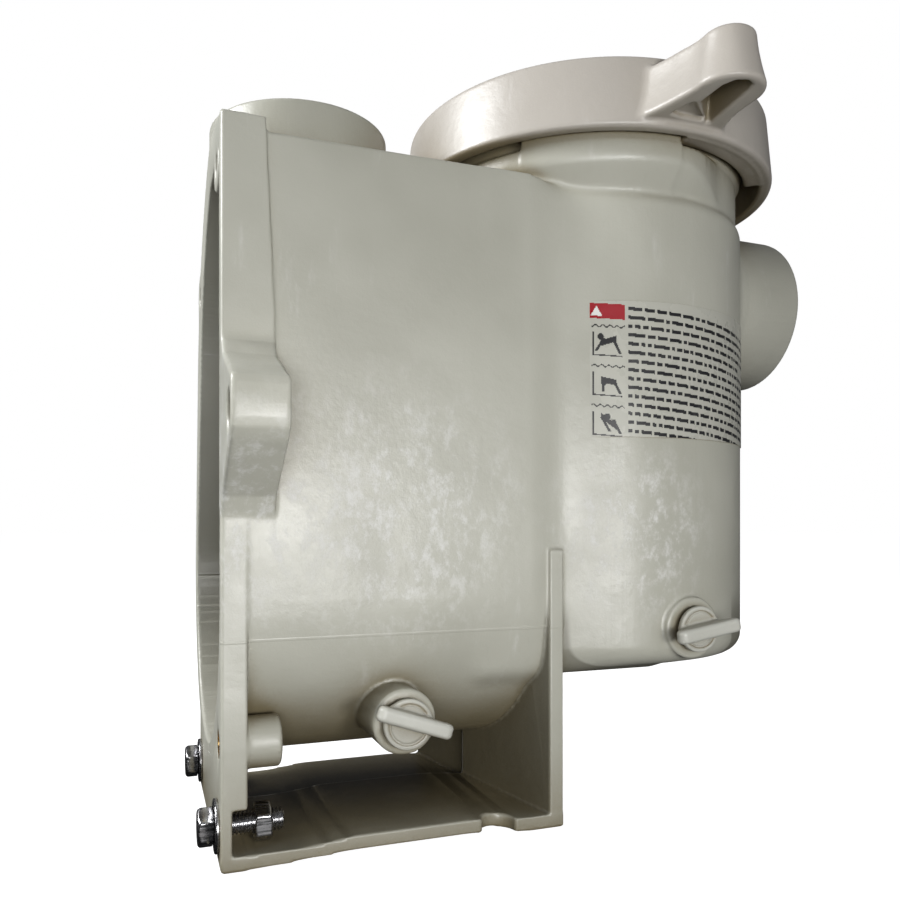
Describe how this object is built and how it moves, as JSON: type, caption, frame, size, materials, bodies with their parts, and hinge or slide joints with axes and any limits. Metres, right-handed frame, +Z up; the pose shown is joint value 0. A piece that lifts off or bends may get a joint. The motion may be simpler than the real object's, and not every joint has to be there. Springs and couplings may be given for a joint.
{
  "type": "pump wet end housing",
  "caption": "Pump wet end: strainer pot and volute in one moulding, open motor flange, pipe collars, clamp ring with looped ears, wing drain plugs.",
  "frame": {"origin": "motor flange face, in the plane of the two port axes, at the underside of the foot", "axes": "+X from the motor flange towards the suction port, +Z up along the discharge and pot axes, +Y away from the drain plugs"},
  "size_m": [0.3282, 0.284, 0.35],
  "materials": {
    "almond_moulding": "satin",
    "ring_moulding": "satin",
    "plug_moulding": "satin",
    "lid_clear": "gloss",
    "seal_rubber": "matte",
    "basket_plastic": "satin",
    "black_moulding": "satin",
    "rotor_plastic": "satin",
    "wear_plastic": "satin",
    "seal_ceramic": "polished",
    "insert_brass": "machined",
    "stainless": "bright",
    "label_film": "satin"
  },
  "bodies": {
    "root": {"housing_suction_collar": "almond_moulding", "housing_discharge_collar": "almond_moulding", "housing_mid_ear": "almond_moulding", "housing_top_near_boss": "almond_moulding", "housing_top_far_boss": "almond_moulding", "housing_insert_boss": "almond_moulding", "housing_foot": "almond_moulding", "housing_diffuser_posts": "almond_moulding", "housing_divider": "almond_moulding", "housing_volute_near": "almond_moulding", "housing_volute_far": "almond_moulding", "housing_chamber_near": "almond_moulding", "housing_chamber_far": "almond_moulding", "housing_pot_near": "almond_moulding", "housing_pot_far": "almond_moulding", "lid_o_ring": "seal_rubber", "strainer_basket": "basket_plastic", "diffuser": "black_moulding", "diffuser_o_ring": "seal_rubber", "diffuser_screws": "stainless", "wear_ring": "wear_plastic", "flange_insert": "insert_brass", "near_foot_washer": "stainless", "far_foot_washer": "stainless", "warning_label": "label_film"},
    "lid": {"lid": "lid_clear"},
    "ring": {"clamp_ring": "ring_moulding"},
    "rotor": {"impeller": "rotor_plastic", "seal_cup": "seal_rubber", "seal_face": "seal_ceramic"},
    "volute_seal": {"volute_drain_o_ring": "seal_rubber"},
    "volute_plug": {"volute_drain_plug": "plug_moulding"},
    "pot_seal": {"pot_drain_o_ring": "seal_rubber"},
    "pot_plug": {"pot_drain_plug": "plug_moulding"},
    "near_bolt": {"near_foot_bolt": "stainless"},
    "near_nut": {"near_foot_nut": "stainless"},
    "far_bolt": {"far_foot_bolt": "stainless"},
    "far_nut": {"far_foot_nut": "stainless"}
  },
  "joints": [
    {"name": "impeller_spin", "type": "hinge", "parent": "root", "child": "rotor", "pos_m": [0.045, 0.0075, 0.11], "axis": [1, 0, 0], "continuous": true},
    {"name": "lid_rise", "type": "slide", "parent": "root", "child": "lid", "axis": [0, 0, 1], "range_m": [0, 0.00152]},
    {"name": "ring_turn", "type": "hinge", "parent": "lid", "child": "ring", "pos_m": [0.2052, 0, 0.33], "axis": [0, 0, 1], "range_deg": [0, 50]},
    {"name": "volute_seal_advance", "type": "slide", "parent": "root", "child": "volute_seal", "axis": [0, -1, 0], "range_m": [0, 0.00705]},
    {"name": "volute_plug_turn", "type": "hinge", "parent": "volute_seal", "child": "volute_plug", "pos_m": [0.075, -0.079, 0.056], "axis": [0, -1, 0], "range_deg": [0, 1800]},
    {"name": "pot_seal_advance", "type": "slide", "parent": "root", "child": "pot_seal", "axis": [0, -1, 0], "range_m": [0, 0.00705]},
    {"name": "pot_plug_turn", "type": "hinge", "parent": "pot_seal", "child": "pot_plug", "pos_m": [0.215, -0.0865, 0.0905], "axis": [0, -1, 0], "range_deg": [0, 1800]},
    {"name": "near_bolt_turn", "type": "hinge", "parent": "root", "child": "near_bolt", "pos_m": [0, -0.06, 0.0151], "axis": [1, 0, 0], "range_deg": [-1200, 2150]},
    {"name": "near_nut_travel", "type": "slide", "parent": "root", "child": "near_nut", "axis": [-1, 0, 0], "range_m": [-0.00535, 0.0095]},
    {"name": "far_bolt_turn", "type": "hinge", "parent": "root", "child": "far_bolt", "pos_m": [0, 0.039, 0.0151], "axis": [1, 0, 0], "range_deg": [-2100, 0]},
    {"name": "far_nut_travel", "type": "slide", "parent": "root", "child": "far_nut", "axis": [-1, 0, 0], "range_m": [-0.0093, 0]}
  ],
  "couplings": [
    {"joint": "lid_rise", "follows": "ring_turn", "m_per_rad": 0.0017189},
    {"joint": "volute_plug_turn", "follows": "volute_seal_advance", "rad_per_m": 4453},
    {"joint": "pot_plug_turn", "follows": "pot_seal_advance", "rad_per_m": 4453},
    {"joint": "near_nut_travel", "follows": "near_bolt_turn", "m_per_rad": 0.00025266},
    {"joint": "far_nut_travel", "follows": "far_bolt_turn", "m_per_rad": 0.00025266}
  ]
}
